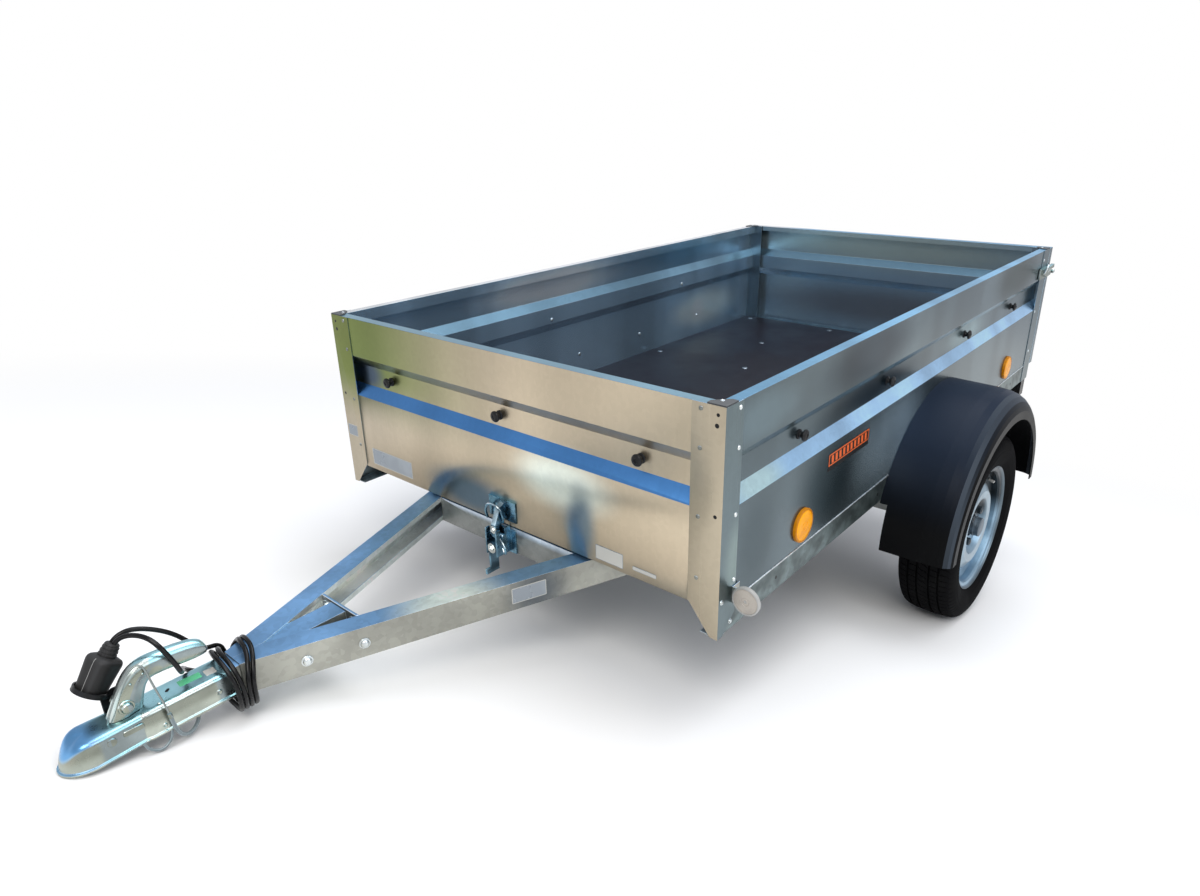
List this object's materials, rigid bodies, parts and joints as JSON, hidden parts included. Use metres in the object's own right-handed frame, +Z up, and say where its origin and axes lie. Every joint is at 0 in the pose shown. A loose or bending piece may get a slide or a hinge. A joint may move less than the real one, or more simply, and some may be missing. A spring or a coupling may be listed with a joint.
{
  "type": "utility trailer",
  "caption": "Single-axle utility trailer: tilting sheet-steel cargo bed with a hinged tailgate, V drawbar, ball coupling and plastic mudguards.",
  "frame": {"origin": "on the ground under the middle of the bounding box, with the trailer parked nose down on its coupling", "axes": "+X towards the coupling, +Y to the trailer's left, +Z up; the level trailer is pitched about 12.5 degrees nose down about the wheel axis"},
  "size_m": [2.9848, 1.596, 1.1128],
  "materials": {
    "galvanised": "hot-dip galvanised sheet, soft sheen",
    "zinc_plate": "bright zinc plate",
    "floor_board": "film-faced plywood, dark brown",
    "black_plastic": "matt moulded",
    "fender_plastic": "satin moulded",
    "amber_lens": "prismatic reflector",
    "white_lens": "prismatic reflector",
    "red_lens": "lamp lens",
    "blank_plate": "blank, no text",
    "rubber": "matt",
    "tyre": "moulded rubber",
    "rim_paint": "silver paint",
    "cable": "black cable sheath",
    "wire": "stranded steel with clear sleeve"
  },
  "bodies": {
    "chassis": {"drawbar_left": "galvanised", "drawbar_right": "galvanised", "front_crossbeam": "galvanised", "neck_tube": "galvanised", "neck_brace": "galvanised", "rest_pads": "rubber", "axle_beam": "galvanised", "axle_brackets": "galvanised", "swing_arms": "galvanised", "stub_axles": "zinc_plate", "pivot_pins": "zinc_plate", "coupling_body": "zinc_plate", "coupling_handle": "zinc_plate", "tilt_latch_lower": "zinc_plate", "lead_upper": "cable", "lead_lower": "cable", "lead_coil": "cable", "lead_tail": "cable", "trailer_plug": "cable", "plug_holder": "black_plastic", "breakaway_wire": "wire", "lead_gland": "black_plastic"},
    "wheel_left": {"tyre_left": "tyre", "rim_left": "rim_paint", "hub_left": "zinc_plate"},
    "wheel_right": {"tyre_right": "tyre", "rim_right": "rim_paint", "hub_right": "zinc_plate"},
    "tailgate": {"gate_panel": "galvanised", "gate_hinges": "galvanised", "gate_strikers": "zinc_plate"},
    "bed": {"amber_reflectors": "amber_lens", "corner_caps": "black_plastic", "cross_bearers": "galvanised", "fender_left": "fender_plastic", "fender_right": "fender_plastic", "floor_panel": "floor_board", "floor_stringers": "galvanised", "front_reflectors": "white_lens", "gate_latches": "zinc_plate", "hinge_brackets": "galvanised", "number_plate": "blank_plate", "pivot_plates": "galvanised", "post_front_left": "galvanised", "post_front_right": "galvanised", "post_rear_left": "galvanised", "post_rear_right": "galvanised", "rear_sill": "galvanised", "reflector_brackets": "galvanised", "rope_knobs": "black_plastic", "side_rails": "galvanised", "tail_lamps": "red_lens", "tilt_latch_upper": "zinc_plate", "wall_front": "galvanised", "wall_left": "galvanised", "wall_right": "galvanised"}
  },
  "joints": [
    {"name": "wheel_left_spin", "type": "hinge", "parent": "chassis", "child": "wheel_left", "pos_m": [-0.55569, 0, 0.272], "axis": [0, 1, 0], "continuous": true},
    {"name": "wheel_right_spin", "type": "hinge", "parent": "chassis", "child": "wheel_right", "pos_m": [-0.55569, 0, 0.272], "axis": [0, 1, 0], "continuous": true},
    {"name": "bed_tilt", "type": "hinge", "parent": "chassis", "child": "bed", "pos_m": [-0.59269, 0, 0.47668], "axis": [0, -1, 0], "range_deg": [0, 24]},
    {"name": "tailgate_hinge", "type": "hinge", "parent": "bed", "child": "tailgate", "pos_m": [-1.48344, 0, 0.68642], "axis": [0, -1, 0], "range_deg": [0, 170]}
  ]
}
